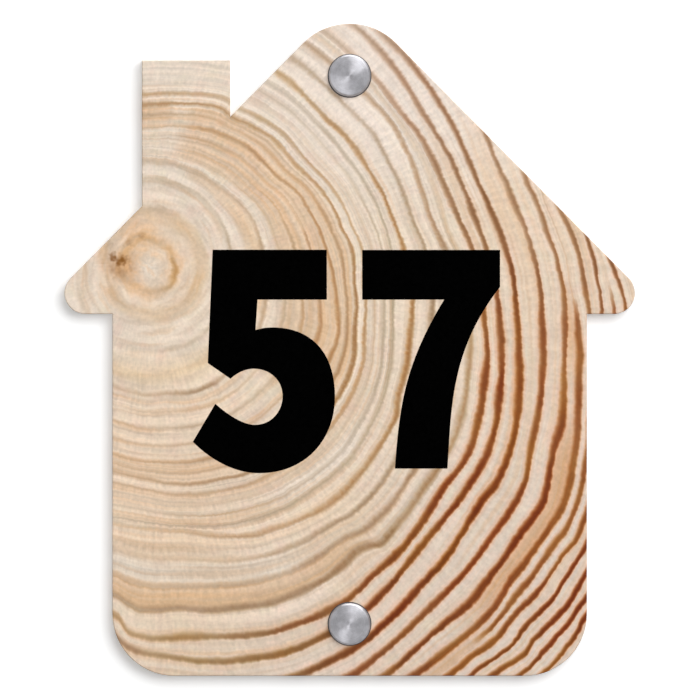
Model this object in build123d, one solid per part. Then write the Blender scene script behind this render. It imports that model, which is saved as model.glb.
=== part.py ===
"""House-shaped door name plate with two screw fixings, each hidden under a round screw-on cover.

Millimetres. +X is the viewer's right, +Y points into the door and +Z is up. The origin is the middle
of the plate's back face, halfway up the plate, where it lies against the door.
"""

from build123d import *
from math import cos, radians, tan
import os

# Plate, seen from the front
plate_thickness = 5.0
wall_width = 145.5  # across the two upright side edges
wall_height = 111.0  # bottom edge to the underside of the eaves
eave_overhang = 14.75  # each eave tip beyond the wall below it
roof_pitch = 45.3  # degrees from level
apex_radius = 20.0
eave_radius = 6.4
bottom_corner_radius = 19.0
chimney_width = 27.0
chimney_offset = 50.2  # middle of the chimney, left of the plate's middle
chimney_rise = 17.4  # chimney top above the point where its inner side meets the roof
arris_radius = 0.4  # sanded edges, front and back

# Where the two fixings go through the plate
hole_margin = 16.0  # hole centres in from the apex and from the bottom edge
hole_clearance = 0.5  # air round the screw thread in the plate
hole_chamfer = 0.3

# Countersunk wood screw, of a length whose thread starts where the plate ends
screw_length = 30.0  # head face to tip
thread_diameter = 3.5
neck_diameter = 2.5  # plain shank between head and thread
thread_run_in = 0.25  # cone from the neck out to the thread
head_diameter = 6.8
head_land = 0.3  # short upright rim above the cone
tip_length = 4.5
tip_flat_diameter = 0.4
recess_span = 4.2  # cross recess, over its wings at the mouth
recess_wing = 1.1  # width of one wing at the mouth
recess_floor_scale = 0.4  # size of the cross at the bottom, as a share of the mouth
recess_depth = 1.8
recess_turns = {"upper": 20.0, "lower": 65.0}  # degrees, where each screw stopped

# Rubber washer, threaded collar and cap of one cover
cap_diameter = 12.8
cap_wall = 0.8
cap_roof = 0.9
cap_chamfer = 0.5  # bright bevel round the face
cap_headroom = 0.15  # air between the collar and the inside of the cap
thread_clearance = 0.1  # air between the collar's and the cap's plain thread cylinders
thread_lead = 0.3  # chamfers that start the cap on the collar
collar_web = 0.7  # metal under the screw head's seat
collar_clearance = 0.2  # air round the screw thread in the collar
head_clearance = 0.1  # air round the head's rim in the collar
head_sink = 0.1  # head face below the collar's face
washer_thickness = 0.4
washer_margin = 0.3  # washer's edge out from the cap's side, a thin dark ring round it

# Outline sizes that follow from the ones above
roof_slope = tan(radians(roof_pitch))
eave_reach = wall_width / 2 + eave_overhang
eave_corner = eave_reach + eave_radius * (1 / tan(radians(roof_pitch / 2)) - 1)
apex_corner = wall_height + eave_corner * roof_slope
plate_height = apex_corner - apex_radius * (1 / cos(radians(roof_pitch)) - 1)
bottom_edge = -plate_height / 2
chimney_top = apex_corner - (chimney_offset - chimney_width / 2) * roof_slope + chimney_rise
hole_radius = thread_diameter / 2 + hole_clearance
fixing_heights = {
    "upper": plate_height / 2 - hole_margin,
    "lower": bottom_edge + hole_margin,
}

# Sizes along a fixing's axis, counted from the plate's front face towards the viewer
collar_bore_radius = thread_diameter / 2 + collar_clearance
head_radius = head_diameter / 2
countersink_radius = head_radius + head_clearance
seat_start = washer_thickness + collar_web
cone_apex = seat_start - collar_bore_radius  # of the 90 degree cone that seat and head share
head_face = cone_apex + head_radius + head_land
collar_face = head_face + head_sink
cap_ceiling = collar_face + cap_headroom
cap_face = cap_ceiling + cap_roof
cap_bore_radius = cap_diameter / 2 - cap_wall
collar_radius = cap_bore_radius - thread_clearance


def turned(points):
    """A solid of revolution about Z from its half section, given as (radius, height) points."""
    section = make_face(Polyline([(r, 0, h) for r, h in points], close=True))
    return revolve(section, Axis.Z)


def facing_viewer(piece, height, depth=0.0):
    """Moves a piece made on the Z axis so that Z points to the viewer from that depth in Y."""
    return Location((0, depth, height), (90, 0, 0)) * piece


def house_outline():
    """The face of the plate: gable roof, walls and chimney in one outline."""
    eaves = bottom_edge + wall_height
    roof = Polygon(
        (-eave_corner, eaves),
        (eave_corner, eaves),
        (0, bottom_edge + apex_corner),
        align=None,
    )
    apex = roof.vertices().sort_by(Axis.Y)[-1]
    roof = fillet(apex, apex_radius)
    tips = roof.vertices().sort_by(Axis.X)
    roof = fillet([tips[0], tips[-1]], eave_radius)

    walls = Pos(0, eaves - wall_height / 2) * Rectangle(wall_width, wall_height)
    walls = fillet(walls.vertices().group_by(Axis.Y)[0], bottom_corner_radius)

    foot = eaves + eave_radius  # inside the roof
    top = bottom_edge + chimney_top
    chimney = Pos(-chimney_offset, (foot + top) / 2) * Rectangle(chimney_width, top - foot)
    return roof + walls + chimney


def screw_hole():
    """What one screw hole takes out of the plate, from its back face forwards."""
    mouth_radius = hole_radius + hole_chamfer
    return turned(
        [
            (0, 0),
            (mouth_radius, 0),
            (hole_radius, hole_chamfer),
            (hole_radius, plate_thickness - hole_chamfer),
            (mouth_radius, plate_thickness),
            (0, plate_thickness),
        ]
    )


def house_plate():
    """The one-piece plate, with eased edges and its two screw holes."""
    plate = extrude(Plane.XZ * house_outline(), plate_thickness)
    plate = fillet(plate.edges().filter_by(Plane.XZ), arris_radius)
    for height in fixing_heights.values():
        plate -= facing_viewer(screw_hole(), height)
    return plate


def rubber_washer():
    """Flat ring that keeps the collar and the cap's rim off the plate's face."""
    ring = Circle(cap_diameter / 2 + washer_margin) - Circle(collar_bore_radius)
    return extrude(ring, washer_thickness)


def threaded_collar():
    """Ring held by the screw head, countersunk inside and made to take the cap outside."""
    return turned(
        [
            (collar_bore_radius, washer_thickness),
            (collar_radius, washer_thickness),
            (collar_radius, collar_face - thread_lead),
            (collar_radius - thread_lead, collar_face),
            (countersink_radius, collar_face),
            (countersink_radius, cone_apex + countersink_radius),
            (collar_bore_radius, seat_start),
        ]
    )


def cover_cap():
    """Cup with a bevelled face that screws over the collar, down to the washer."""
    radius = cap_diameter / 2
    return turned(
        [
            (0, cap_ceiling),
            (cap_bore_radius, cap_ceiling),
            (cap_bore_radius, washer_thickness + thread_lead),
            (cap_bore_radius + thread_lead, washer_thickness),
            (radius, washer_thickness),
            (radius, cap_face - cap_chamfer),
            (radius - cap_chamfer, cap_face),
            (0, cap_face),
        ]
    )


def wood_screw(turn):
    """Countersunk screw with its recess turned by some degrees. The thread is a plain cylinder."""
    neck_radius = neck_diameter / 2
    thread_radius = thread_diameter / 2
    tip = head_face - screw_length
    screw = turned(
        [
            (0, head_face),
            (head_radius, head_face),
            (head_radius, head_face - head_land),
            (neck_radius, cone_apex + neck_radius),
            (neck_radius, -plate_thickness),
            (thread_radius, -plate_thickness - thread_run_in),
            (thread_radius, tip + tip_length),
            (tip_flat_diameter / 2, tip),
            (0, tip),
        ]
    )
    mouth = Rectangle(recess_span, recess_wing) + Rectangle(recess_wing, recess_span)
    recess = loft([Pos(0, 0, -recess_depth) * scale(mouth, recess_floor_scale), mouth], ruled=True)
    return screw - Pos(0, 0, head_face) * Rot(0, 0, turn) * recess


os.makedirs("parts", exist_ok=True)
export_step(house_plate(), "parts/house_plate.step")
for place, height in fixing_heights.items():
    cover_and_screw = {
        "washer": rubber_washer(),
        "collar": threaded_collar(),
        "cap": cover_cap(),
        "screw": wood_screw(recess_turns[place]),
    }
    for name, piece in cover_and_screw.items():
        seated = facing_viewer(piece, height, depth=-plate_thickness)
        export_step(seated, f"parts/{place}_{name}.step")
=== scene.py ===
import bpy
import bmesh
from functools import partial
from math import ceil, pi, radians
from mathutils import Matrix, Vector


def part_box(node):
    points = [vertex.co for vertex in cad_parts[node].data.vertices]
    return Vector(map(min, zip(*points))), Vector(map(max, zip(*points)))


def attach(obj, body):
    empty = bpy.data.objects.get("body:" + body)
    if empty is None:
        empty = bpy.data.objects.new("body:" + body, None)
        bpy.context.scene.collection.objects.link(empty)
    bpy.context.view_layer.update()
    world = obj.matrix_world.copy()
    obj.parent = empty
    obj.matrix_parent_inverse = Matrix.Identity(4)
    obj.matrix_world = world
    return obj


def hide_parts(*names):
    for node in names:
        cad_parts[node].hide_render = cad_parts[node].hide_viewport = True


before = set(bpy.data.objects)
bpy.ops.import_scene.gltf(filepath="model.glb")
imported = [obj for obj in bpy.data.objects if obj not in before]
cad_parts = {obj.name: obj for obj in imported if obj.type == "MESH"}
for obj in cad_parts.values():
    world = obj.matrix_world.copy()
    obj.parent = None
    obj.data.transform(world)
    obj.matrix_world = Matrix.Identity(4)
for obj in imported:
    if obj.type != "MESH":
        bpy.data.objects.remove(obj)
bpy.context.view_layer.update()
print("stage: frame loaded")

# Sizes below are in millimetres where no note says otherwise, and Blender's own are in metres
mm = 0.001
body = "root"
inRadian = 57.3  # degrees
weld = 0.002  # mm within which points are one, far below any real size
placedWeld = 0.001 * mm  # the same for a piece that is in its place

# The numerals and the ring outlines were traced over the photograph, and their points are pixels
# of its 700 x 700 frame
photo = {
    "pixel": 0.30666,  # mm
    "middle": (349.6, 349.8),  # the pixel at the plate's middle
}

plateLow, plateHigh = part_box("house_plate")
frontFace = plateLow[1]
backFace = plateHigh[1]


# A pixel of the photograph as metres right of and above the plate's middle
def onPlate(point):
    pixel = photo["pixel"] * mm
    across = (point[0] - photo["middle"][0]) * pixel
    return Vector((across, (photo["middle"][1] - point[1]) * pixel, 0))


# sRGB hex to the linear colour that nodes take
def linear(hexColour):
    channels = [int(hexColour[i:i + 2], 16) / 255 for i in (1, 3, 5)]
    bent = [c / 12.92 if c <= 0.04045 else ((c + 0.055) / 1.055) ** 2.4 for c in channels]
    return (*bent, 1.0)


# One node with its settings, its curve or ramp points, and its links or plain values. A Math
# node's operation follows its kind.
def addNode(tree, kind, *values, pick=0, named=None, points=None, **settings):
    kind, *operation = kind.split()
    node = tree.nodes.new("ShaderNode" + kind)
    if operation:
        node.operation = operation[0]
    for setting, value in settings.items():
        setattr(node, setting, value)
    if points and kind == "FloatCurve":
        curve = node.mapping.curves[0]
        curve.points[0].location = (0.0, points[0][1])
        curve.points[-1].location = (1.0, points[-1][1])
        for place, height in points:
            if 0.002 < place < 0.998:  # the two ends are there already
                curve.points.new(place, height)
        for point in curve.points:
            point.handle_type = "AUTO_CLAMPED"
        node.mapping.update()
    elif points:
        stops = node.color_ramp.elements
        for place, colour in points[1:-1]:
            stops.new(place)
        for stop, (place, colour) in zip(stops, points):
            stop.position = place
            stop.color = linear(colour)
    for socket, value in list(enumerate(values)) + list((named or {}).items()):
        if isinstance(value, bpy.types.NodeSocket):
            tree.links.new(value, node.inputs[socket])
        elif value is not None:
            node.inputs[socket].default_value = value
    return node.outputs[pick]


# Settings that many nodes share, and the spans that hold most and nearly all values of a noise,
# whose node takes a place, a scale, a detail and a roughness
smooth = {"interpolation_type": "SMOOTHSTEP"}
asColour = {"pick": 2, "data_type": "RGBA"}
noiseMost = (0.3, 0.7)
noiseAll = (0.25, 0.75)


# A material with its tree and shader, and addNode for that tree
def newMaterial(name):
    material = bpy.data.materials.new(name)
    material.use_nodes = True
    tree = material.node_tree
    return material, tree, tree.nodes["Principled BSDF"], partial(addNode, tree)


# Turns a bmesh that is already in its place into a piece of the object
def finishPiece(shape, name, material, stoodFor=None, sharpFrom=35):
    mesh = bpy.data.meshes.new(name)
    shape.to_mesh(mesh)
    shape.free()
    mesh.shade_smooth()
    mesh.set_sharp_from_angle(angle=radians(sharpFrom))
    mesh.materials.append(material)
    piece = bpy.data.objects.new(name, mesh)
    bpy.context.scene.collection.objects.link(piece)
    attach(piece, body)
    if stoodFor:
        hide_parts(stoodFor)
    return piece


camera = {
    "lens": 400,  # long, as the photograph shows no perspective
    "frameWidth": 214.66,  # mm seen across the picture at the plate's front face
    "aim": (0.12, -0.06),  # mm right of and above the plate's middle
    "clipEnd": 50,  # metres
}
studio = {  # places and sizes in metres, powers in watts
    "ambient": 0.3,
    "gloss": 0.8,  # what metal mirrors all round
    "keyPower": 53.0,
    "keyPlace": (0.9, -2.0, 0.84),
    "keySize": 1.8,
    "glintPower": 33.0,  # shines on metal alone, and draws the bright wedges on the covers
    "glintPlace": (0.9, -2.0, 1.25),
    "glintSize": 1.4,
    "rimPower": 42.0,  # above, and only catches the upper bevels of the covers
    "rimPlace": (0.35, -0.45, 1.8),
    "rimSize": 1.8,
    "backPower": 12.0,
    "backPlace": (-0.5, 1.0, 0.6),
    "backSize": 0.8,
    "wallWhite": 0.85,
    "wallGlow": 0.28,
    "wallGap": 0.05,  # mm behind the plate
    "wallReach": 3,  # from its middle to its edges
}

scene = bpy.context.scene
scene.view_settings.view_transform = "Standard"
cameraData = bpy.data.cameras.new("camera")
cameraData.lens = camera["lens"]
cameraData.clip_end = camera["clipEnd"]
cameraPiece = bpy.data.objects.new("camera", cameraData)
distance = camera["frameWidth"] * mm * camera["lens"] / cameraData.sensor_width
cameraPiece.location = (camera["aim"][0] * mm, frontFace - distance, camera["aim"][1] * mm)
cameraPiece.rotation_euler = (radians(90), 0, 0)
scene.collection.objects.link(cameraPiece)
scene.camera = cameraPiece

# White for the camera, light grey for metal to mirror, and a soft level for everything else
world = bpy.data.worlds.new("studio")
world.use_nodes = True
scene.world = world
tree = world.node_tree
tree.nodes.clear()
add = partial(addNode, tree)
rays = add("LightPath").node.outputs
level = add("Mix", rays["Is Glossy Ray"], None, studio["ambient"], studio["gloss"])
seen = add("Math MAXIMUM", rays["Is Camera Ray"], rays["Is Transmission Ray"])
level = add("Mix", seen, None, level, 1.0)
light = add("Background", (1, 1, 1, 1), level)
worldOutput = tree.nodes.new("ShaderNodeOutputWorld")
tree.links.new(light, worldOutput.inputs[0])


# A square soft box that points at the plate's middle
def addLamp(name, place, size, power):
    lamp = bpy.data.lights.new(name, "AREA")
    lamp.size = size
    lamp.energy = power
    piece = bpy.data.objects.new(name, lamp)
    piece.location = place
    piece.rotation_euler = (-Vector(place)).to_track_quat("-Z", "Y").to_euler()
    piece.visible_camera = False
    scene.collection.objects.link(piece)
    return piece


keyLight = addLamp("keyLight", studio["keyPlace"], studio["keySize"], studio["keyPower"])
keyLight.visible_glossy = False
glintLight = addLamp("glintLight", studio["glintPlace"], studio["glintSize"], studio["glintPower"])
glintLight.visible_diffuse = False
rimLight = addLamp("rimLight", studio["rimPlace"], studio["rimSize"], studio["rimPower"])
rimLight.visible_diffuse = False
addLamp("backLight", studio["backPlace"], studio["backSize"], studio["backPower"])

# The door behind the plate is a white backdrop that only shows from the front
wallShape = bmesh.new()
bmesh.ops.create_grid(wallShape, x_segments=1, y_segments=1, size=studio["wallReach"])
bmesh.ops.rotate(wallShape, verts=wallShape.verts, matrix=Matrix.Rotation(radians(90), 3, "X"))
bmesh.ops.translate(wallShape, verts=wallShape.verts, vec=(0, backFace + studio["wallGap"] * mm, 0))
wallMesh = bpy.data.meshes.new("wall")
wallShape.to_mesh(wallMesh)
wallShape.free()
wall = bpy.data.objects.new("wall", wallMesh)
scene.collection.objects.link(wall)
wall.visible_diffuse = False
wall.visible_shadow = False

# Matt paint takes the plate's shadow, and glows for the camera alone so that the rest is white
wallPaint, tree, shader, add = newMaterial("White painted door, matt")
tree.nodes.remove(shader)
rays = add("LightPath").node.outputs
paint = add("BsdfDiffuse", (studio["wallWhite"],) * 3 + (1,))
glowLevel = add("Math MULTIPLY", rays["Is Camera Ray"], studio["wallGlow"])
glow = add("Emission", (1, 1, 1, 1), glowLevel)
front = add("AddShader", paint, glow)
behind = add("NewGeometry", pick=6)
clear = add("BsdfTransparent")
shown = add("MixShader", behind, front, clear)
tree.links.new(shown, tree.nodes["Material Output"].inputs[0])
wallMesh.materials.append(wallPaint)
print("stage: camera, backdrop and lamps")

# The plate is a slice across a pine trunk, whose heart lies at the left eave
wood = {
    "heart": (148.0, 264.0),  # pixels
    "ringScale": 600.0,  # pixels, the radius that stands for 1 in the curves
    "ringCount": 32.0,
    "innerTurn": (-180.0, 180.0),
    "outerTurn": (-110.0, 95.0),
    "outset": 1.3,  # pixels from an outline to the middle of its line
    "lastGap": 14.0,  # pixels between the rings beyond the last outline
    "drift": (9.0, 0.7),  # mm across one slow wander of a ring, and pixels that it wanders
    "shiver": (2.4, 0.25),
    "ruffle": (5.0, 1.5, (45.0, 110.0)),  # mm, pixels and radii between which it dies out
    "sawn": 0.5,  # pixels that the saw's strokes drag a line
    "patch": (16.0, (0.32, 0.68), (0.85, 1.1)),  # mm, noise span, a line's darkness that is left
    "blotch": (6.0, 0.5),  # mm, and the strongest share
    "faint": (0.9, 0.1, 0.035),  # streaks' fineness, and their share in inner and outer rings
    "greyFineness": 1.6,  # of grey streaks, where peach ones have 1
    "unevenSpan": (0.35, 0.65),  # of the streaks' noise, which makes stains uneven
    "unevenLeft": (0.7, 1.1),
    "ticks": 0.18,  # how far saw strokes break up the lines near the heart
    "speckle": (1.1, 0.07),  # fibres are 0.03 mm wide, drawn coarser to show
    "streakTurn": 42.0,  # degrees round the heart that a streak lasts
    "streaksPerRing": 3.0,
    "strokeTurns": (1.5, 0.75),  # degrees between saw strokes near the heart and further out
    "strokesStart": (35.0, 110.0),  # pixels from the heart where they begin
    "strokesChange": (150.0, 260.0),  # and where they grow closer together
    "strokeLength": 5.0,  # mm
    "strokeShare": 0.075,
    "relief": 0.02,  # mm that latewood stands proud after sanding
    "reliefStrength": 0.6,
    "roughness": 0.6,
    "specular": 0.12,
    "typical": "#E3CDB8",  # pale wood against which the lines' colours were chosen
}

# Each outline is one ring's dark latewood line, traced: degrees from the viewer's right and
# radius in pixels. Some were then moved a pixel or two to where the line was measured. Rings without
# an outline lie evenly between their neighbours.
innerRings = {
    1: {-180: 24, -150: 24, -125: 25, -100: 25.5, -85: 26, -60: 28, -40: 29, -20: 28, 0: 26,
        20: 24.5, 45: 23, 70: 22.5, 90: 23.5, 110: 26, 130: 25, 180: 24},
    2: {-180: 46, -150: 49, -120: 54, -90: 56, -60: 57, -30: 57, 0: 58.5, 20: 57, 45: 56.5, 70: 54,
        90: 55, 110: 49, 140: 44, 180: 46},
    3: {-180: 68, -150: 75, -115: 85.7, -90: 86, -60: 88, -30: 86, 0: 83, 30: 82, 70: 84, 90: 84,
        120: 75, 150: 66, 180: 68},
    4: {-180: 109, -125: 124, -105: 126.3, -98: 127.4, -91: 130, -84: 129.4, -74: 132.7, -66: 134.9,
        -30: 127, 0: 116, 12: 113.5, 20: 113, 30: 110.6, 40: 106, 50: 103.8, 70: 101.9, 90: 103,
        140: 105, 180: 109},
}
outerRings = {
    8: {-110: 188, -90: 196, -70: 203, -50: 206, -28: 203.8, -20: 201.9, -15: 196, -12: 192.5,
        -8: 188.8, 5: 177.5, 10: 174.4, 15: 171, 20: 167.5, 25: 165, 30: 160, 33: 156, 42: 153,
        50: 152, 55: 149.5, 64: 146.2, 76: 141, 92: 136},
    10: {-110: 205, -90: 214, -85: 219, -80: 222.5, -75: 225, -70: 226.9, -66: 230, -45: 232,
        -25: 226, -20: 218.8, -15: 213.8, -10: 210.6, -5: 206, 0: 205, 5: 202.4, 10: 197, 15: 193.5,
        20: 189.8, 25: 185.4, 30: 179.8, 35: 176.5, 45: 175.6, 50: 172.5, 55: 170, 60: 168, 65: 171,
        70: 168.5, 78: 163.3, 92: 158.2},
    14: {-110: 246, -98: 252.9, -90: 257, -80: 265, -70: 273, -60: 277.9, -45: 279.3, -38: 275,
        -30: 269.3, -25: 264, -15: 252.5, -10: 247.5, 5: 241.5, 20: 230.6, 35: 221.2, 55: 217,
        92: 199.6},
    15: {-110: 255, -95: 262, -90: 264, -86: 266, -81.4: 270, -77.9: 275.7, -74.3: 281.4, -70: 288.6,
        -65: 292, -60: 295.7, -55: 299, -50: 300, -47: 298.6, -40: 295, -35: 292, -31.4: 290,
        -28.6: 283.6, -25: 280, -20: 275.5, -15: 270.7, -8: 266.4, 3.5: 255.7, 10: 248.8, 15: 245,
        20: 241, 25: 238, 30: 236, 35: 232.5, 40: 228.8, 55: 230, 70: 222, 92: 210},
    17: {-96.4: 311, -93.6: 316.4, -90: 320.7, -85: 322.4, -80: 326, -75: 331, -70: 334.4,
        -65: 337.4, -60: 338.4, -57: 336.4, -54: 337, -52: 340, -50: 342, -47: 342, -42: 338.6,
        -38: 335.7, -30: 327, -20: 316, -11.4: 309, 3.5: 295.7, 7: 288.6, 10: 285, 20: 282,
        30: 280.6, 37: 275.7, 55: 270},
    18: {-96.4: 331, -93.6: 338.6, -90.7: 345.5, -88: 344.8, -85: 345, -80: 351.2, -75: 354.8,
        -70: 360.7, -65: 361.4, -60: 360, -57: 358.3, -54: 355, -52: 357, -50: 363, -47: 360.7,
        -40: 355, -30: 351.4, -25: 346.4, -20: 339, -13: 330, 3.5: 305.7, 7: 300, 10: 298, 20: 293,
        30: 288, 40: 285, 50: 283},
    19: {-95.7: 351, -92.9: 368, -90: 372.6, -88: 374, -85: 373.3, -80: 377.2, -75: 383.6, -70: 388,
        -60: 390.3, -57: 387, -54: 383, -50: 382, -45: 377.6, -40: 372, -37: 370.4, -33: 371.5,
        -30: 370.8, -25: 364.4, -20: 357, -15: 350.6, -9: 339.4, 3.5: 322, 7: 315, 10: 310.6,
        20: 302, 25: 300, 30: 295, 35: 292.9, 53.5: 290.7},
    20: {-96: 370, -92.9: 383, -86: 394, -80: 402.9, -75: 407.5, -70: 411.4, -63: 410, -57: 407,
        -51: 398.5, -45: 391.4, -38: 389.5, -30: 388.6, -20: 374, -10: 357, 0: 342, 10: 327,
        20: 318.5, 30: 313, 45: 314.3},
    21: {-92: 415, -70: 437, -66: 436.5, -60: 434, -57: 430, -54: 427, -50: 421.4, -45: 417.9,
        -40: 412, -35: 409, -32: 410.7, -30: 409.3, -25: 402.9, -20: 394, -15: 384, -10: 374.5,
        -5: 367.9, 0: 361.4, 5: 352.9, 10: 344.3, 15: 337.9, 20: 335, 25: 333.6, 30: 332, 35: 330.7,
        45: 328.6},
    22: {-64: 458, -60: 454, -54: 447, -49: 443, -44: 441, -38: 438, -32: 437, -28: 430, -25: 423,
        -20: 416, -15: 408, -10: 400, -5: 393.5, 0: 387, 5: 378.5, 10: 370, 20: 360.7},
    23: {-60: 474, -55: 468, -52: 465.5, -50: 465.5, -46: 467, -44: 464.2, -40: 461.2, -37: 459.7,
        -34: 459.5, -32: 460.6, -30: 458.4, -28: 453, -26: 448, -24: 444.6, -22: 443.6, -20: 440.6,
        -16: 431.6, -14: 427.6, -10: 422.6, -5: 417, 0: 409, 5: 398.6, 10: 390.7, 13: 386.4},
    24: {-57: 489, -51: 487.5, -48: 488, -45: 487, -43: 484, -41: 480.5, -39: 480, -32: 480,
        -30: 479, -28: 476, -26: 471, -24: 466, -22: 462, -20: 457, -18: 452, -14: 443, -12: 441,
        -10: 436.5, -6: 430, -3: 423, 0: 419, 5: 409, 10: 400},
    26: {-54: 509, -51: 508, -47: 511, -45: 508.5, -43: 507, -40: 508.5, -37: 506.5, -35: 506,
        -33: 508, -30: 504, -24.5: 493, -10: 462, -6: 455.2, -3.7: 451.6, -1: 446.9, 1: 444, 4: 437,
        10: 424},
    28: {-50: 536, -48: 538, -46: 541, -44: 537.5, -40: 540, -38: 538.5, -35: 535, -30: 527,
        -20: 507, -10: 486, -5.4: 478.9, -3.5: 474.5, -1.6: 468.7, 0.6: 460.9, 8: 444},
    30: {-50: 567, -46: 568, -43: 567, -40: 564, -39: 561, -35: 561, -20: 533, 0: 487, 8: 470},
}

# How the latewood lines look: values by ring, by degrees round the heart, or by share of a line.
# Darkness and inks were set until the render's lines measured like the photograph's, ring by
# ring and in sectors of ten degrees or so.
lines = {
    "ringDarkness": {0: 0.0, 1: 0.56, 2: 0.4, 3: 0.85, 4: 1.6, 5: 0.7, 6: 0.78, 7: 0.8, 8: 0.9,
        9: 0.78, 10: 1.12, 11: 0.82, 12: 0.55, 13: 0.68, 14: 1.0, 15: 0.98, 16: 0.95, 17: 1.0,
        18: 1.45, 19: 0.92, 20: 0.98, 21: 1.1, 22: 0.9, 23: 1.0, 24: 0.85, 25: 0.82, 26: 0.92,
        27: 1.0, 28: 0.98, 29: 1.0, 32: 1.15},
    "innerDarkness": {-110: 0.3, -95: 0.33, -85: 0.38, -75: 0.54, -65: 0.66, -50: 0.74, -35: 0.9,
        -25: 1.0, -5: 0.97, 5: 0.88, 15: 0.76, 25: 0.66, 45: 0.62, 65: 0.52, 80: 0.62, 95: 0.62},
    "outerFrom": (18.0, 19.0),  # rings where the inner darkness and colours end
    "innerInk": {0: "#AA8352", 1: "#AA8352", 3: "#BDA68B", 4: "#BA9B7E", 5: "#C4AB8F", 7: "#B4906F",
        8: "#AC855F", 9: "#B49474", 10: "#A87F57", 11: "#B48D66", 12: "#BFA184", 13: "#B39C82",
        14: "#B09A80", 15: "#A3774B", 16: "#A08264", 17: "#9F7C5C", 18: "#98744F", 32: "#98744F"},
    "outerInk": {-110: "#BCA283", -95: "#B39878", -85: "#A68962", -75: "#987650", -65: "#815A36",
        -55: "#76421F", -45: "#6E3714", -35: "#753815", -25: "#7B441F", -15: "#855129",
        -5: "#845531", 5: "#8A6342", 15: "#916B4A", 25: "#997151", 35: "#A67F60", 50: "#B3967B",
        95: "#B69D84"},
    "width": {0: 0.8, 2: 1.0, 3: 0.8, 4: 0.75, 5: 0.6, 12: 0.62, 14: 0.7, 17: 0.85, 19: 1.0,
        24: 0.98, 25: 0.85, 26: 0.74, 28: 0.68, 32: 0.66},
    "widthByTurn": {-110: 0.9, -60: 1.0, -25: 1.06, -12: 0.95, 0: 0.77, 10: 0.77, 25: 0.8, 45: 0.9,
        58: 1.2, 72: 1.5, 95: 1.6},
    # Pixels from a wide line's middle where it starts, is full, begins to fade and ends
    "softProfile": (-7.4, 0.6, -0.2, 5.4),
    "crispProfile": (-6.0, -0.5, 0.8, 3.9),
    "halo": (-10.0, -4.5, 3.0, 7.0),
    "haloColour": "#E4AC86",  # resin beside a line
    "haloShare": {-110: 0.1, -80: 0.12, -55: 0.48, -20: 0.52, -5: 0.36, 10: 0.2, 35: 0.12, 95: 0.1},
    "crispByTurn": {-110: 0.4, -85: 0.5, -60: 1.0, -10: 1.0, 10: 0.6, 30: 0.3, 95: 0.3},
    "swell": (1.7, 0.25),  # fineness, and how far a line's width changes along it
    "greyer": ("#A3856A", 0.5),  # the thin lines below the heart
    "greyerTurn": (-35.0, -65.0),
    "olive": ("#A06E2E", 0.42, (0.5, 0.64)),  # colour, share and noise span
    "red": ("#782F0B", 0.4, (0.5, 0.36)),
    "strongTurn": (10.0, -15.0),  # where olive and red begin
    "changeTurn": 11.0,  # degrees between changes of colour along a line
    "rowStep": 7.3,  # how far apart in the noise one ring lies from the next
    "fadeEdge": 1.5,  # degrees either side of a fade's ends
    # One ring's line fades: ring, from and to in degrees, how much is left
    "fades": [
        (25, -75, -48, 0.05), (18, -47, 110, 0.66), (18, -32, 110, 0.66), (18, -8, 110, 0.5),
        (24, -6, 20, 0.1), (27, -4, 20, 0.1), (27, -12, 20, 0.75), (1, 15, 181, 0.45),
        (1, -181, -62, 0.6), (1, -62, -30, 0.75), (4, -60, 110, 0.6), (3, -120, -50, 0.6),
        (2, -181, 5, 0.7), (6, 18, 110, 0.5), (7, 12, 110, 0.4), (8, 50, 110, 0.7),
        (9, 20, 60, 0.75), (13, -70, -30, 0.65), (16, -111, -68, 0.7), (16, 30, 40, 0.7),
        (17, -92, -62, 0.8), (19, 30, 110, 0.75), (22, 0, 20, 0.85), (23, -18, 20, 0.8),
        (29, -9, 20, 0.0), (8, 70, 110, 0.6), (9, 70, 110, 1.15), (11, 62, 110, 1.35),
        (11, 32, 62, 1.25), (12, 62, 110, 0.1), (13, 62, 110, 0.1), (14, 62, 110, 0.1),
        (14, 38, 62, 0.6)],
    # Streaks beyond the inner rings
    "streakByTurn": {-110: 1.0, 10: 1.0, 35: 0.45, 95: 0.4},
    "streakFrom": (10.0, 13.0),
}

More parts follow.
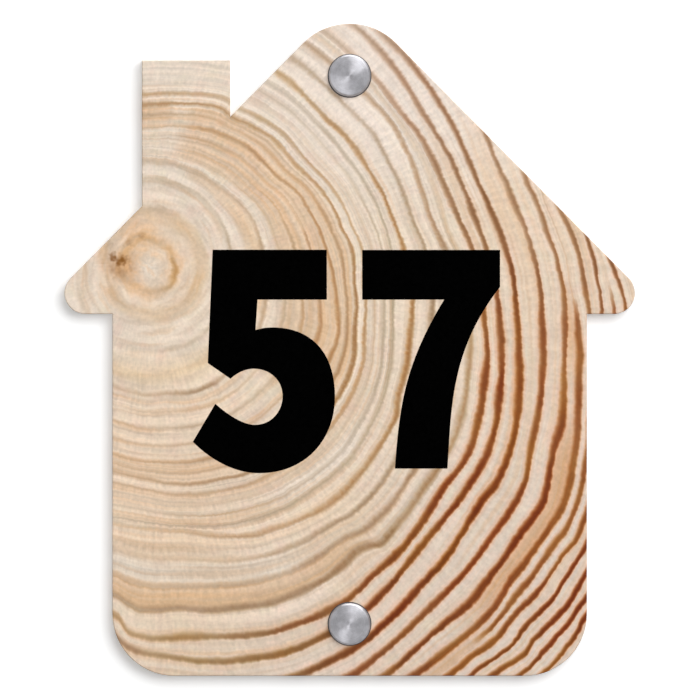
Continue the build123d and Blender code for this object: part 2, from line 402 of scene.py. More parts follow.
palette = {
    # From the upper left to the lower right, between these sums of mm right and mm down
    "paleSpan": (-86, 157),
    "pale": [(0.0, "#E9D9C8"), (0.24, "#EAD8C3"), (0.47, "#E7D3BE"), (0.7, "#DFCDBC"),
             (1.0, "#DBCBBD")],
    "peach": ("#DAB48C", 0.5, (0.5, 0.68)),  # colour, share and noise span
    "grey": ("#CFB9A3", 0.4, (0.52, 0.68)),
    "pink": ("#E8CBBB", (0.52, 0.7)),
    "green": ("#E1D5BD", (0.48, 0.3)),
    "bandEdge": 5.0,  # degrees either side of a band's ends
    # Stained bands between two lines: first ring, last ring, softness in rings, degrees, colour, share
    "bands": [
        (0.72, 1.35, 0.25, -200, 200, "#D8AC7C", 0.42),
        (1.42, 2.1, 0.3, -150, 95, "#D2AE82", 0.55),
        (3.05, 4.0, 0.5, -125, -45, "#DFC298", 0.65),
        (3.35, 4.1, 0.25, -20, 66, "#DDBA92", 0.55),
        (4.1, 4.8, 0.5, -125, -45, "#D8AC80", 0.35),
        (4.4, 10.2, 0.9, -42, 75, "#D6AB7C", 0.58),
        (7.4, 10.2, 0.8, 80, 110, "#DBB188", 0.5),
        (7.6, 10.3, 0.5, -115, -50, "#D6AE84", 0.4),
        (10.6, 12.0, 0.6, -115, -20, "#DCB690", 0.4),
        (14.5, 15.1, 0.3, -70, 40, "#D9B083", 0.4),
        (12.2, 13.9, 0.4, -62, -38, "#EADFD2", 0.6),
        (16.0, 17.0, 0.3, -98, -64, "#E9DED0", 0.7),
        (17.0, 18.0, 0.12, -99, -53, "#D3AA7E", 0.68),
        (23.0, 24.0, 0.12, -47, -21, "#CE9F73", 0.9),
        (23.0, 24.0, 0.15, -14, -4, "#D5A87D", 0.75),
        (24.0, 26.0, 0.15, -58, -48, "#CFA27A", 0.7),
    ],
    # Soft round places: pixels right of and above the heart, radius, colour, share
    "places": [
        (0, -205, 170, "#ECCEB1", 0.5),
        (40, -330, 110, "#DDC09C", 0.35),
        (190, -260, 80, "#E0C29C", 0.3),
        (265, 195, 200, "#E9DCD2", 0.85),
        (20, 182, 40, "#E3D5C6", 0.6),
        (0, 5, 85, "#E4C4A2", 0.6),
        (-26, -2, 28, "#CE9860", 0.75),
        (-12, 34, 30, "#DBAC7C", 0.55),
        (2, -5, 17, "#E6DACB", 0.9),
    ],
    # The tiny knot at the left of the heart, as round places with an uneven edge
    "knot": [
        (-33.5, 7.0, 6.5, 0.8), (-30.0, 6.0, 6.5, 0.6), (-27.0, 1.5, 6.0, 0.8),
        (-22.0, 4.0, 5.0, 0.6), (-33.0, -4.0, 8.0, 0.35), (-28.0, -10.0, 9.0, 0.25),
        (-38.0, 20.0, 6.0, 0.2), (-19.5, 20.5, 5.0, 0.3), (-6.3, 27.0, 5.0, 0.3),
        (-14.0, 10.0, 5.0, 0.15), (-17.0, -4.0, 4.0, 0.25)],
    "knotColour": "#84541F",
    "knotRagged": (1.7, 14.0),  # mm, and pixels between the furthest in and out
    "knotSpread": 1.15,  # how far past its radius a place fades out
}


# Values by place as points of a curve or ramp, with the places as shares of a span
def withinSpan(values, span):
    return [((place - span[0]) / (span[1] - span[0]), value) for place, value in values.items()]


# A place for noise that moves round the heart, one unit in so many degrees, and changes by row
def roundHeart(add, outwards, turnStep, row):
    spread = add("VectorMath SCALE", outwards, named={3: inRadian / turnStep})
    lift = add("CombineXYZ", 0.0, row, 0.0)
    return add("VectorMath ADD", spread, lift)


# Rises to 1 between the first two of four edges and falls to 0 again between the last two
def between(add, value, edges, **settings):
    rise = add("MapRange", value, edges[0], edges[1], 0.0, 1.0, **settings)
    fall = add("MapRange", value, edges[2], edges[3], 1.0, 0.0, **settings)
    return add("Math MULTIPLY", rise, fall)


# Pine end grain, planed, sanded and matt lacquered: dull and smooth, with dark latewood lines that
# stand a touch proud, warm streaks along the rings and fine saw strokes across them
def woodMaterial():
    material, tree, shader, add = newMaterial("Pine end grain, sanded and matt lacquered")
    place = add("TexCoord", pick=3)
    apart = add("SeparateXYZ", place).node.outputs
    heart = onPlate(wood["heart"])
    pixel = photo["pixel"] * mm
    across = add("Math SUBTRACT", apart[0], heart.x)
    up = add("Math SUBTRACT", apart[2], heart.y)
    x = add("Math DIVIDE", across, pixel)
    z = add("Math DIVIDE", up, pixel)
    turn = add("Math ARCTAN2", z, x)
    turn = add("Math DEGREES", turn)
    flat = add("CombineXYZ", x, 0.0, z)
    radius = add("VectorMath LENGTH", flat, pick=1)
    outwards = add("VectorMath NORMALIZE", flat)
    inMm = add("VectorMath SCALE", flat, named={3: photo["pixel"]})

    # Saw strokes run out from the heart, closer together in turns where the rings are wide
    strokeRow = add("Math MULTIPLY", radius, photo["pixel"] / wood["strokeLength"])
    strokes = []
    for turnStep in wood["strokeTurns"]:
        strokePlace = roundHeart(add, outwards, turnStep, strokeRow)
        strokes.append(add("TexNoise", strokePlace, None, 1.0, 1.0, 0.5))
    farOut = add("MapRange", radius, *wood["strokesChange"], 0.0, 1.0)
    stroke = add("Mix", farOut, None, *strokes)
    begun = add("MapRange", radius, *wood["strokesStart"], 0.0, 1.0)
    stroke = add("Mix", begun, None, 0.5, stroke)

    # Rings wander a little from their outlines, slowly and quickly, and follow the strokes
    wandering = add("Math SUBTRACT", radius, wood["outset"])
    drag = add("MapRange", stroke, *noiseMost, -wood["sawn"], wood["sawn"])
    wandering = add("Math ADD", wandering, drag)
    for size, reach in (wood["drift"], wood["shiver"]):
        wander = add("TexNoise", inMm, None, 1 / size, 2.0, 0.5)
        wander = add("MapRange", wander, *noiseAll, -reach, reach)
        wandering = add("Math ADD", wandering, wander)
    ruffleSize, ruffleReach, ruffleFade = wood["ruffle"]
    ruffle = add("TexNoise", inMm, None, 1 / ruffleSize, 1.0, 0.5)
    ruffle = add("MapRange", ruffle, *noiseAll, -ruffleReach, ruffleReach)
    ruffled = add("MapRange", radius, *ruffleFade, 1.0, 0.0)
    wandering = add("Math MULTIPLY_ADD", ruffle, ruffled, wandering)
    scaled = add("Math DIVIDE", wandering, wood["ringScale"])

    # Ring count from the heart outwards, which grows by one from each line to the next, and the gap
    # between lines in pixels
    count = 0.0
    gap = 0.0
    lastRing = 0
    lastRadius = 0.0
    for rings, span in ((innerRings, wood["innerTurn"]), (outerRings, wood["outerTurn"])):
        turnShare = add("MapRange", turn, *span, 0.0, 1.0)
        for ring, outline in rings.items():
            points = [(a, r / wood["ringScale"]) for a, r in withinSpan(outline, span)]
            here = add("FloatCurve", 1.0, turnShare, points=points)
            grown = add("MapRange", scaled, lastRadius, here, 0.0, float(ring - lastRing))
            count = add("Math ADD", count, grown)
            wide = add("Math SUBTRACT", here, lastRadius)
            wide = add("Math MULTIPLY", wide, wood["ringScale"] / (ring - lastRing))
            past = add("Math GREATER_THAN", scaled, lastRadius)
            gap = add("Mix", past, None, gap, wide)
            lastRing = ring
            lastRadius = here
    beyond = add("Math SUBTRACT", scaled, lastRadius)
    past = add("Math GREATER_THAN", beyond, 0.0)
    gap = add("Mix", past, None, gap, wood["lastGap"])
    beyond = add("Math MAXIMUM", beyond, 0.0)
    perRing = wood["ringScale"] / wood["lastGap"]
    count = add("Math MULTIPLY_ADD", beyond, perRing, count)

    # Pixels to the nearest line, below zero on the heart's side
    ringNow = add("Math ADD", count, 0.5)
    ringNow = add("Math FLOOR", ringNow)
    offset = add("Math SUBTRACT", count, ringNow)
    offset = add("Math MULTIPLY", offset, gap)
    ringShare = add("Math DIVIDE", ringNow, wood["ringCount"])

    # How dark the nearest line is here, by its ring and by the outer rings' turns
    ringSpan = (0.0, wood["ringCount"])
    turnSpan = wood["outerTurn"]
    curves = {}
    byTurn = ("innerDarkness", "widthByTurn", "haloShare", "crispByTurn", "streakByTurn")
    for share, span, names in ((ringShare, ringSpan, ("ringDarkness", "width")),
                               (turnShare, turnSpan, byTurn)):
        for name in names:
            points = withinSpan(lines[name], span)
            curves[name] = add("FloatCurve", 1.0, share, points=points)
    isOuter = add("MapRange", ringNow, *lines["outerFrom"], 0.0, 1.0)
    ticks = add("MapRange", stroke, *noiseMost, 1 - wood["ticks"], 1 + wood["ticks"])
    broken = add("Math MULTIPLY", curves["innerDarkness"], ticks)
    darkness = add("Mix", isOuter, None, broken, 1.0)
    darkness = add("Math MULTIPLY", darkness, curves["ringDarkness"])
    fade = lines["fadeEdge"]
    for ring, start, end, left in lines["fades"]:
        within = between(add, turn, (start - fade, start + fade, end - fade, end + fade))
        isRing = add("Math COMPARE", ringNow, float(ring), 0.1)
        within = add("Math MULTIPLY", within, isRing)
        keep = add("MapRange", within, 0.0, 1.0, 1.0, left)
        darkness = add("Math MULTIPLY", darkness, keep)
    patchSize, patchSpan, patchLeft = wood["patch"]
    patch = add("TexNoise", inMm, None, 1 / patchSize, 3.0, 0.55)
    patch = add("MapRange", patch, *patchSpan, *patchLeft)
    darkness = add("Math MULTIPLY", darkness, patch)

    # Lines change along their length, each one by itself
    ringRow = add("Math MULTIPLY", ringNow, lines["rowStep"])
    changePlace = roundHeart(add, outwards, lines["changeTurn"], ringRow)
    change = add("TexNoise", changePlace, None, 1.0, 2.0, 0.5)
    swellFineness, swellReach = lines["swell"]
    swell = add("TexNoise", changePlace, None, swellFineness, 1.0, 0.5)
    swell = add("MapRange", swell, *noiseMost, 1 - swellReach, 1 + swellReach)

    # A line swells slowly on the heart's side and ends more crisply on the bark's side
    width = add("Math MULTIPLY", curves["width"], curves["widthByTurn"])
    width = add("Math MULTIPLY", width, swell)
    isCrisp = add("Math MULTIPLY", isOuter, curves["crispByTurn"])
    shapes = []
    for softEdges, crispEdges in (("softProfile", "crispProfile"), ("halo", "halo")):
        edges = []
        for softEdge, crispEdge in zip(lines[softEdges], lines[crispEdges]):
            reach = add("Mix", isCrisp, None, softEdge, crispEdge)
            edges.append(add("Math MULTIPLY", width, reach))
        inside = between(add, offset, edges, **smooth)
        shapes.append(add("Math MULTIPLY", inside, darkness))
    line, halo = shapes

    # Streaks follow the rings: the place along them in turns, and across them in rings
    streakRow = add("Math MULTIPLY", count, wood["streaksPerRing"])
    streakPlace = roundHeart(add, outwards, wood["streakTurn"], streakRow)
    peach = add("TexNoise", streakPlace, None, 1.0, 2.0, 0.5)
    grey = add("TexNoise", streakPlace, None, wood["greyFineness"], 1.0, 0.5)
    uneven = add("MapRange", peach, *wood["unevenSpan"], *wood["unevenLeft"])
    faintFineness, faintInner, faintOuter = wood["faint"]
    faintShare = add("Mix", isOuter, None, faintInner, faintOuter)
    faint = add("TexNoise", streakPlace, None, faintFineness, 1.0, 0.5)

    # Pale wood first, then blotches a few millimetres wide
    slope = add("Math SUBTRACT", apart[0], apart[2])
    upperLeft, lowerRight = palette["paleSpan"]
    slope = add("MapRange", slope, upperLeft * mm, lowerRight * mm, 0.0, 1.0)
    colour = add("ValToRGB", slope, points=palette["pale"])
    blotchSize, blotchShare = wood["blotch"]
    blotch = add("TexNoise", inMm, None, 1 / blotchSize, 2.0, 0.55)
    layers = []
    for tone, span in (palette["pink"], palette["green"]):
        layers.append((add("MapRange", blotch, *span, 0.0, blotchShare), tone))
    for placeX, placeZ, size, tone, share in palette["places"]:
        away = add("VectorMath DISTANCE", flat, (placeX, 0.0, placeZ), pick=1)
        near = add("MapRange", away, 0.1 * size, size, share, 0.0, **smooth)
        layers.append((add("Math MULTIPLY", near, uneven), tone))
    edge = palette["bandEdge"]
    for first, last, soft, start, end, tone, share in palette["bands"]:
        stain = between(add, count, (first, first + soft, last - soft, last), **smooth)
        along = between(add, turn, (start - edge, start + edge, end - edge, end + edge), **smooth)
        for part in (along, share, uneven):
            stain = add("Math MULTIPLY", stain, part)
        layers.append((stain, tone))
    calm = add("MapRange", ringNow, *lines["streakFrom"], 1.0, curves["streakByTurn"])
    for noise, (tone, share, span) in ((peach, palette["peach"]), (grey, palette["grey"])):
        streak = add("MapRange", noise, *span, 0.0, share)
        layers.append((add("Math MULTIPLY", streak, calm), tone))
    haloShare = add("Math MULTIPLY", curves["haloShare"], isOuter)
    halo = add("Math MULTIPLY", halo, haloShare)
    for share, tone in layers + [(halo, lines["haloColour"])]:
        colour = add("Mix", share, named={6: colour, 7: linear(tone)}, **asColour)

    # Strokes, a fine speckle and faint streaks make it lighter and darker
    speckleSize, speckleShare = wood["speckle"]
    speckle = add("TexNoise", inMm, None, 1 / speckleSize, 1.0, 0.5)
    shade = 1.0
    for noise, share in ((stroke, wood["strokeShare"]), (speckle, speckleShare)):
        fine = add("MapRange", noise, *noiseAll, 1 - share, 1 + share)
        shade = add("Math MULTIPLY", shade, fine)
    faint = add("MapRange", faint, *noiseMost, -1.0, 1.0)
    faint = add("Math MULTIPLY_ADD", faint, faintShare, 1.0)
    shade = add("Math MULTIPLY", shade, faint)
    colour = add("VectorMath SCALE", colour, named={3: shade})

    # The lines' own colours, which change along the outer ones from red to olive
    innerInk = add("ValToRGB", ringShare, points=withinSpan(lines["innerInk"], ringSpan))
    outerInk = add("ValToRGB", turnShare, points=withinSpan(lines["outerInk"], turnSpan))
    greyTone, greyShare = lines["greyer"]
    isGrey = add("MapRange", turn, *lines["greyerTurn"], 0.0, greyShare)
    innerInk = add("Mix", isGrey, named={6: innerInk, 7: linear(greyTone)}, **asColour)
    isStrong = add("MapRange", turn, *lines["strongTurn"], 0.0, 1.0)
    for tone, share, span in (lines["olive"], lines["red"]):
        turnedTo = add("MapRange", change, *span, 0.0, share)
        turnedTo = add("Math MULTIPLY", turnedTo, isStrong)
        outerInk = add("Mix", turnedTo, named={6: outerInk, 7: linear(tone)}, **asColour)
    lineInk = add("Mix", isOuter, named={6: innerInk, 7: outerInk}, **asColour)

    # Latewood takes light out of the wood's own colour, so a line's soft edge is a deeper orange
    typical = linear(wood["typical"])[:3]
    taken = add("VectorMath DIVIDE", lineInk, typical)
    taken = add("VectorMath POWER", taken, line)
    colour = add("VectorMath MULTIPLY", colour, taken)

    # The knot's round places are pushed in and out by half the raggedness either way
    raggedSize, raggedReach = palette["knotRagged"]
    ragged = add("TexNoise", inMm, None, 1 / raggedSize, 1.0, 0.5)
    for placeX, placeZ, size, share in palette["knot"]:
        away = add("VectorMath DISTANCE", flat, (placeX, 0.0, placeZ), pick=1)
        away = add("Math MULTIPLY_ADD", ragged, raggedReach, away)
        outer = raggedReach / 2 + palette["knotSpread"] * size
        dark = add("MapRange", away, raggedReach / 2, outer, share, 0.0, **smooth)
        colour = add("Mix", dark, named={6: colour, 7: linear(palette["knotColour"])}, **asColour)

    tree.links.new(colour, shader.inputs["Base Color"])
    shader.inputs["Roughness"].default_value = wood["roughness"]
    shader.inputs["Specular IOR Level"].default_value = wood["specular"]
    proud = wood["relief"] * mm
    height = add("Math MULTIPLY", line, proud)
    height = add("Math MULTIPLY_ADD", stroke, proud, height)
    relief = add("Bump", wood["reliefStrength"], 1.0, named={"Height": height})
    tree.links.new(relief, shader.inputs["Normal"])
    return material


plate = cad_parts["house_plate"]
plate.data.materials.clear()
plate.data.materials.append(woodMaterial())
print("stage: plate")

# Each outline point is (place, handle before, handle after) in pixels, None for a corner
numerals = {
    "thickness": 0.06,  # mm of cured ink above the wood
    "sunk": 0.03,  # mm into it
    "spread": 0.25,  # pixels that the ink runs past its outline
    "curveSteps": 24,
    "grainPerMm": 0.9,
    "roughness": (0.6, 0.75),
    "relief": 0.01,  # mm
    "reliefStrength": 0.5,
    "numeralFive": [
        ((212.9, 250.0), None, None), ((326.5, 250.0), None, None), ((326.6, 299.3), None, None),
        ((257.3, 299.3), None, None), ((255.2, 330.5), None, (262.0, 328.2)),
        ((273.0, 327.7), (267.0, 327.7), (308.5, 327.7)),
        ((334.7, 396.5), (334.7, 350.0), (334.7, 440.0)),
        ((259.0, 472.9), (305.0, 472.9), (230.0, 472.9)), ((193.2, 441.7), (205.0, 454.0), None),
        ((215.4, 404.2), None, (226.0, 413.5)), ((255.0, 425.1), (242.0, 425.1), (271.0, 425.1)),
        ((282.9, 396.0), (282.9, 412.0), (282.9, 380.0)),
        ((254.0, 368.4), (270.0, 368.4), (245.0, 368.4)), ((230.5, 378.4), (237.0, 372.5), None),
        ((208.1, 362.9), None, None),
    ],
    "numeralSeven": [
        ((362.5, 250.2), None, None), ((499.8, 250.2), None, None),
        ((499.8, 286.8), None, (450.5, 349.8)), ((447.2, 468.3), (451.2, 406.4), None),
        ((395.2, 468.3), None, (399.8, 402.5)), ((444.6, 299.3), (406.2, 362.6), None),
        ((362.5, 299.3), None, None),
    ],
}


# Black ink, printed on the wood and cured: matt, and so dark that hardly any light comes back
def inkMaterial():
    material, tree, shader, add = newMaterial("Black printing ink, cured matt")
    place = add("TexCoord", pick=3)
    grain = add("TexNoise", place, None, numerals["grainPerMm"] / mm, 3.0, 0.6)
    colour = add("ValToRGB", grain, points=[(0.3, "#010101"), (0.7, "#030303")])
    tree.links.new(colour, shader.inputs["Base Color"])
    rough = add("MapRange", grain, *noiseMost, *numerals["roughness"])
    tree.links.new(rough, shader.inputs["Roughness"])
    shader.inputs["Specular IOR Level"].default_value = 0.0
    height = add("Math MULTIPLY", grain, numerals["relief"] * mm)
    relief = add("Bump", numerals["reliefStrength"], 1.0, named={"Height": height})
    tree.links.new(relief, shader.inputs["Normal"])
    return material


# A closed outline is filled and thickened, made a mesh and laid on the plate's front
def addNumeral(name, outline, material):
    curve = bpy.data.curves.new(name, "CURVE")
    curve.dimensions = "2D"
    curve.fill_mode = "BOTH"
    curve.resolution_u = numerals["curveSteps"]
    curve.extrude = (numerals["thickness"] + numerals["sunk"]) / 2 * mm
    curve.offset = numerals["spread"] * photo["pixel"] * mm
    spline = curve.splines.new("BEZIER")
    spline.bezier_points.add(len(outline) - 1)
    spline.use_cyclic_u = True
    for point, (place, before, after) in zip(spline.bezier_points, outline):
        point.handle_left_type = "FREE" if before else "VECTOR"
        point.handle_right_type = "FREE" if after else "VECTOR"
        point.co = onPlate(place)
        if before:
            point.handle_left = onPlate(before)
        if after:
            point.handle_right = onPlate(after)
    drawn = bpy.data.objects.new(name + "Curve", curve)
    scene.collection.objects.link(drawn)
    bpy.context.view_layer.update()
    flat = bpy.data.meshes.new_from_object(drawn)
    shape = bmesh.new()
    shape.from_mesh(flat)
    bpy.data.objects.remove(drawn)
    bmesh.ops.remove_doubles(shape, verts=shape.verts, dist=placedWeld)
    bmesh.ops.rotate(shape, verts=shape.verts, matrix=Matrix.Rotation(radians(90), 3, "X"))
    middle = frontFace - (numerals["thickness"] - numerals["sunk"]) / 2 * mm
    bmesh.ops.translate(shape, verts=shape.verts, vec=(0, middle, 0))
    bmesh.ops.recalc_face_normals(shape, faces=shape.faces)
    return finishPiece(shape, name, material)


ink = inkMaterial()
for name in ("numeralFive", "numeralSeven"):
    addNumeral(name, numerals[name], ink)
print("stage: numerals")

# Sizes of a cover and its screw in millimetres, with heights counted from the plate's front face
cover = {
    "capRadius": 6.4,
    "capBore": 5.6,
    "capCeiling": 3.1,
    "capFace": 4.0,
    "capBevel": 0.5,
    "rounding": 0.06,  # tumbled edges
    "roundedFrom": 30,  # degrees between two faces
    "roundingSteps": 3,
    "threadEnd": 0.5,  # plain wall between the thread and the ceiling
    "collarRadius": 5.5,
    "collarBore": 1.95,
    "collarSeat": 3.5,  # radius of the countersink
    "collarFace": 2.95,
    "seatStart": 1.1,
    "lead": 0.3,  # chamfers that start the cap on the collar
    # The washer stands 0.3 mm out past the cover, and its dark rim is painted shade standing in for
    # the cover's contact shadow
    "washerRadius": 6.7,
    "washerThickness": 0.4,
    "washerRounding": 0.12,
    "threadPitch": 0.5,
    "threadDepth": 0.2,
    "segments": 128,
}
screw = {
    "crest": 1.75,
    "root": 1.15,
    "pitch": 1.6,
    "neck": 1.25,
    "threadStart": -5.0,  # the plate's back
    "tip": -27.15,
    "tipLength": 4.5,
    "tipRadius": 0.2,
    "runIn": 1.2,  # the ridge grows to its full height over this length
    "cutAt": -4.8,  # the head and neck above this come from the frame
    "cutWithin": 0.0001,  # of the cut, where a point counts as on it
    "segments": 48,
}
steel = {
    "dark": "#9E9DA1",
    "light": "#B9B8BD",
    "roughness": (0.36, 0.42),
    "brushed": 0.75,  # how far the highlight spreads across the turning marks
    "cloud": 2.6,  # mm
    "marks": 0.19,  # mm between turning marks, real ones are 0.05 mm
    "markShare": 0.3,  # of the marks in the tone, and the cloud has the rest
    "toneSpan": (0.38, 0.62),
    "glossSpan": (0.35, 0.65),
    "relief": 0.004,  # mm
    "reliefStrength": 0.3,
}
fineCloud = {  # on the hidden metals and the rubber
    "perMm": 0.7,
    "gloss": (-0.05, 0.07),  # either side of a material's roughness
}
# Where a thread's profile stands at the root and at the crest, as shares of its pitch
threadProfile = ((0, "root"), (0.3, "root"), (0.46, "crest"), (0.54, "crest"), (0.7, "root"))


# Moves a shape made on Z in millimetres over the plate's front face to its fixing
def seat(shape, nodeName):
    low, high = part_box(nodeName)
    place = Vector(((low[0] + high[0]) / 2, frontFace, (low[2] + high[2]) / 2))
    turnOver = Matrix.Translation(place) @ Matrix.Rotation(radians(90), 4, "X") @ Matrix.Scale(mm, 4)
    bmesh.ops.transform(shape, matrix=turnOver, verts=shape.verts)


# A tube with one helical ridge, cut flat at both ends. A crest inside the root turns it inwards.
def threadTube(root, crest, pitch, bottom, top, segments):
    shape = bmesh.new()
    radii = {"root": root, "crest": crest}
    profile = []
    for coil in range(ceil((top - bottom) / pitch) + 2):
        start = bottom + (coil - 1) * pitch
        for share, level in threadProfile:
            profile.append(shape.verts.new((radii[level], 0, start + share * pitch)))
    edges = [shape.edges.new(pair) for pair in zip(profile, profile[1:])]
    bmesh.ops.spin(shape, geom=profile + edges, cent=(0, 0, 0), axis=(0, 0, 1), angle=2 * pi,
                   steps=segments, dvec=(0, 0, pitch / segments), use_merge=False)
    bmesh.ops.remove_doubles(shape, verts=shape.verts, dist=weld)
    for height, direction in ((bottom, -1), (top, 1)):
        everything = shape.verts[:] + shape.edges[:] + shape.faces[:]
        bmesh.ops.bisect_plane(shape, geom=everything, dist=weld, plane_co=(0, 0, height),
                               plane_no=(0, 0, direction), clear_outer=True)
    return shape


# The open ring of edges at a height
def openEdges(shape, height):
    return [e for e in shape.edges
            if e.is_boundary and all(abs(v.co.z - height) < 5 * weld for v in e.verts)]


# Carries an open ring of edges on through (radius, height) points, as on a lathe
def turnOn(shape, edges, profile):
    for radius, height in profile:
        grown = bmesh.ops.extrude_edge_only(shape, edges=edges)["geom"]
        edges = [e for e in grown if isinstance(e, bmesh.types.BMEdge)]
        for vert in [v for v in grown if isinstance(v, bmesh.types.BMVert)]:
            away = Vector((vert.co.x, vert.co.y, 0)).normalized() * radius
            vert.co = (away.x, away.y, height)


# Merges poles and seams and turns every face outwards
def tidyShell(shape):
    bmesh.ops.remove_doubles(shape, verts=shape.verts, dist=weld)
    bmesh.ops.recalc_face_normals(shape, faces=shape.faces)


# The cover: a threaded cup with a bevelled face
def capShape():
    top = cover["capCeiling"] - cover["threadEnd"]
    rim = cover["washerThickness"]
    bottom = rim + cover["lead"]
    groove = cover["capBore"] + cover["threadDepth"]
    side = cover["capRadius"]
    face = cover["capFace"]
    shape = threadTube(groove, cover["capBore"], cover["threadPitch"], bottom, top,
                       cover["segments"])
    turnOn(shape, openEdges(shape, bottom), [
        (groove, rim), (side, rim), (side, face - cover["capBevel"]),
        (side - cover["capBevel"], face), (side / 2, face), (0.0, face)])
    turnOn(shape, openEdges(shape, top), [
        (groove, top), (groove, cover["capCeiling"]), (0.0, cover["capCeiling"])])
    tidyShell(shape)
    outside = (groove + side - cover["capBevel"]) / 2  # only edges further out are rounded
    sharp = [e for e in shape.edges
             if len(e.link_faces) == 2 and e.calc_face_angle(0) > radians(cover["roundedFrom"])
             and all(v.co.xy.length > outside for v in e.verts)]
    bmesh.ops.bevel(shape, geom=sharp, offset=cover["rounding"], segments=cover["roundingSteps"],
                    profile=0.5, affect="EDGES", material=-1)
    return shape


# The ring under the screw head, threaded outside and countersunk inside
def collarShape():
    rim = cover["washerThickness"]
    face = cover["collarFace"]
    bore = cover["collarBore"]
    top = face - cover["lead"]
    shape = threadTube(cover["collarRadius"] - cover["threadDepth"], cover["collarRadius"],
                       cover["threadPitch"], rim, top, cover["segments"])
    seatEnd = cover["seatStart"] + cover["collarSeat"] - bore
    turnOn(shape, openEdges(shape, top), [
        (cover["collarRadius"] - cover["lead"], face), (cover["collarSeat"], face),
        (cover["collarSeat"], seatEnd), (bore, cover["seatStart"]), (bore, rim)])
    bmesh.ops.bridge_loops(shape, edges=openEdges(shape, rim))
    tidyShell(shape)
    return shape


# A flat moulded ring with rounded edges, wider than the cover, so that its dark rim shows round it as
# painted shade
def washerShape():
    shape = bmesh.new()
    thick = cover["washerThickness"]
    corners = [(cover["collarBore"], 0.0), (cover["washerRadius"], 0.0),
               (cover["washerRadius"], thick), (cover["collarBore"], thick)]
    verts = [shape.verts.new((r, 0, h)) for r, h in corners]
    for i in range(4):
        shape.edges.new((verts[i], verts[(i + 1) % 4]))
    bmesh.ops.bevel(shape, geom=verts, offset=cover["washerRounding"],
                    segments=cover["roundingSteps"], profile=0.5, affect="VERTICES", material=-1)
    bmesh.ops.spin(shape, geom=shape.verts[:] + shape.edges[:], cent=(0, 0, 0), axis=(0, 0, 1),
                   angle=2 * pi, steps=cover["segments"], use_merge=True)
    tidyShell(shape)
    return shape


# The screw from the plate's back to its tip: the ridge grows at the neck and tapers at the tip
def screwThread():
    shape = threadTube(screw["root"], screw["crest"], screw["pitch"], screw["tip"],
                       screw["threadStart"], screw["segments"])
    for vert in shape.verts:
        radius = vert.co.xy.length
        grown = min(1.0, (screw["threadStart"] - vert.co.z) / screw["runIn"])
        core = screw["root"] + (screw["neck"] - screw["root"]) * (1 - grown)
        fresh = core + (radius - screw["root"]) * grown
        along = max(0.0, 1 - (vert.co.z - screw["tip"]) / screw["tipLength"])
        narrow = 1 - along * (1 - screw["tipRadius"] / screw["root"])
        vert.co.x *= fresh * narrow / radius
        vert.co.y *= fresh * narrow / radius
    bmesh.ops.holes_fill(shape, edges=openEdges(shape, screw["tip"]), sides=0)
    return shape


# The head with its cross recess is a copy of the frame's, and the thread below it is new
def screwShape(nodeName):
    shape = screwThread()
    seat(shape, nodeName)
    head = bmesh.new()
    head.from_mesh(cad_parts[nodeName].data)
    bmesh.ops.remove_doubles(head, verts=head.verts, dist=placedWeld)
    everything = head.verts[:] + head.edges[:] + head.faces[:]
    bmesh.ops.bisect_plane(head, geom=everything, dist=screw["cutWithin"] * mm, clear_outer=True,
                           plane_co=(0, frontFace - screw["cutAt"] * mm, 0), plane_no=(0, 1, 0))
    carrier = bpy.data.meshes.new("head")
    head.to_mesh(carrier)
    head.free()
    shape.from_mesh(carrier)
    bpy.data.meshes.remove(carrier)
    bmesh.ops.bridge_loops(shape, edges=[e for e in shape.edges if e.is_boundary])
    bmesh.ops.recalc_face_normals(shape, faces=shape.faces)
    return shape


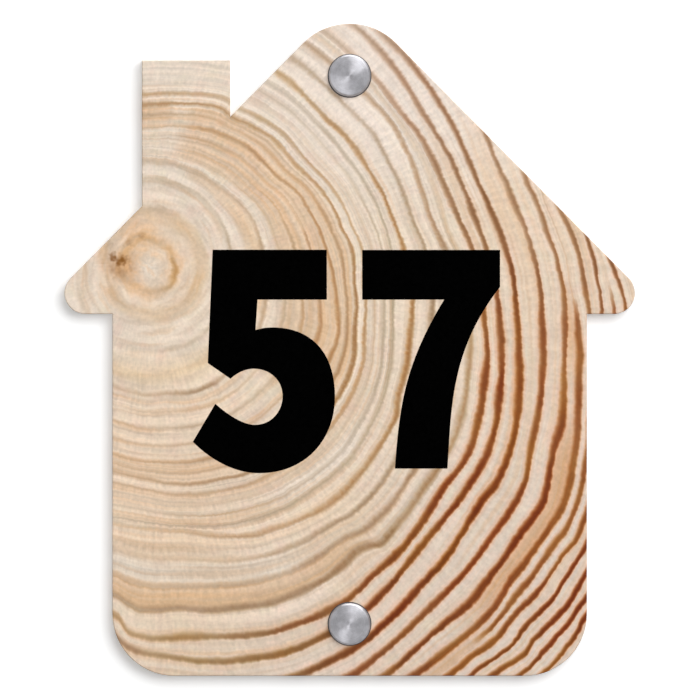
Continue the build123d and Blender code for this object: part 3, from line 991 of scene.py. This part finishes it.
# Stainless steel, faced on a lathe and brushed: fine rings that spread a highlight into two wedges
def capMaterial(nodeName):
    material, tree, shader, add = newMaterial("Stainless steel, turned and brushed, " + nodeName)
    low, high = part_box(nodeName)
    middle = ((low[0] + high[0]) / 2, 0.0, (low[2] + high[2]) / 2)
    place = add("TexCoord", pick=3)
    local = add("VectorMath SUBTRACT", place, middle)
    flat = add("VectorMath MULTIPLY", local, (1, 0, 1))
    radius = add("VectorMath LENGTH", flat, pick=1)
    radial = add("VectorMath NORMALIZE", flat)
    tree.links.new(radial, shader.inputs["Tangent"])
    cloud = add("TexNoise", place, None, 1 / (steel["cloud"] * mm), 3.0, 0.6)
    marks = add("Math MULTIPLY", radius, 1 / (steel["marks"] * mm))
    marks = add("TexNoise", named={"W": marks, "Scale": 1.0, "Detail": 2.0}, noise_dimensions="1D")
    mixed = add("Mix", steel["markShare"], None, cloud, marks)
    tones = list(zip(steel["toneSpan"], (steel["dark"], steel["light"])))
    colour = add("ValToRGB", mixed, points=tones)
    tree.links.new(colour, shader.inputs["Base Color"])
    rough = add("MapRange", mixed, *steel["glossSpan"], *steel["roughness"])
    tree.links.new(rough, shader.inputs["Roughness"])
    shader.inputs["Metallic"].default_value = 1.0
    shader.inputs["Anisotropic"].default_value = steel["brushed"]
    height = add("Math MULTIPLY", marks, steel["relief"] * mm)
    relief = add("Bump", steel["reliefStrength"], 1.0, named={"Height": height})
    tree.links.new(relief, shader.inputs["Normal"])
    return material


# A material with two tones in a fine cloud, which also makes its gloss uneven
def cloudyMaterial(name, dark, light, rough, metallic):
    material, tree, shader, add = newMaterial(name)
    place = add("TexCoord", pick=3)
    cloud = add("TexNoise", place, None, fineCloud["perMm"] / mm, 3.0, 0.6)
    colour = add("ValToRGB", cloud, points=list(zip(noiseMost, (dark, light))))
    tree.links.new(colour, shader.inputs["Base Color"])
    below, above = fineCloud["gloss"]
    gloss = add("MapRange", cloud, *noiseMost, rough + below, rough + above)
    tree.links.new(gloss, shader.inputs["Roughness"])
    shader.inputs["Metallic"].default_value = metallic
    return material


# Bright bluish plating, slightly yellow nickel, and dull rubber with moulding bloom. The rubber is
# also kept dark as painted shade: a thin ring round each cover in place of its contact shadow.
zinc = cloudyMaterial("Steel screw, clear zinc plated", "#A7A9AC", "#C2C4C7", 0.32, 1.0)
nickel = cloudyMaterial("Steel collar, turned and nickel plated", "#A39D94", "#BDB8AF", 0.28, 1.0)
rubber = cloudyMaterial("Black rubber washer with painted outline shade, moulded", "#2C2C2F", "#414145", 0.62, 0.0)
for side in ("upper", "lower"):
    for kind, makeShape, material, slotName in (
        ("washer", washerShape, rubber, "rubber_washer"),
        ("collar", collarShape, nickel, "collar_steel"),
        ("cap", capShape, capMaterial(side + "_cap"), "brushed_steel"),
    ):
        node = f"{side}_{kind}"
        shape = makeShape()
        seat(shape, node)
        piece = finishPiece(shape, f"{side}{kind.capitalize()}", material, node)
        if kind == "cap":
            piece.visible_shadow = False  # as in the photograph, where only the plate casts one
    finishPiece(screwShape(side + "_screw"), side + "Screw", zinc, side + "_screw",
                sharpFrom=50)
print("stage: screws and covers")
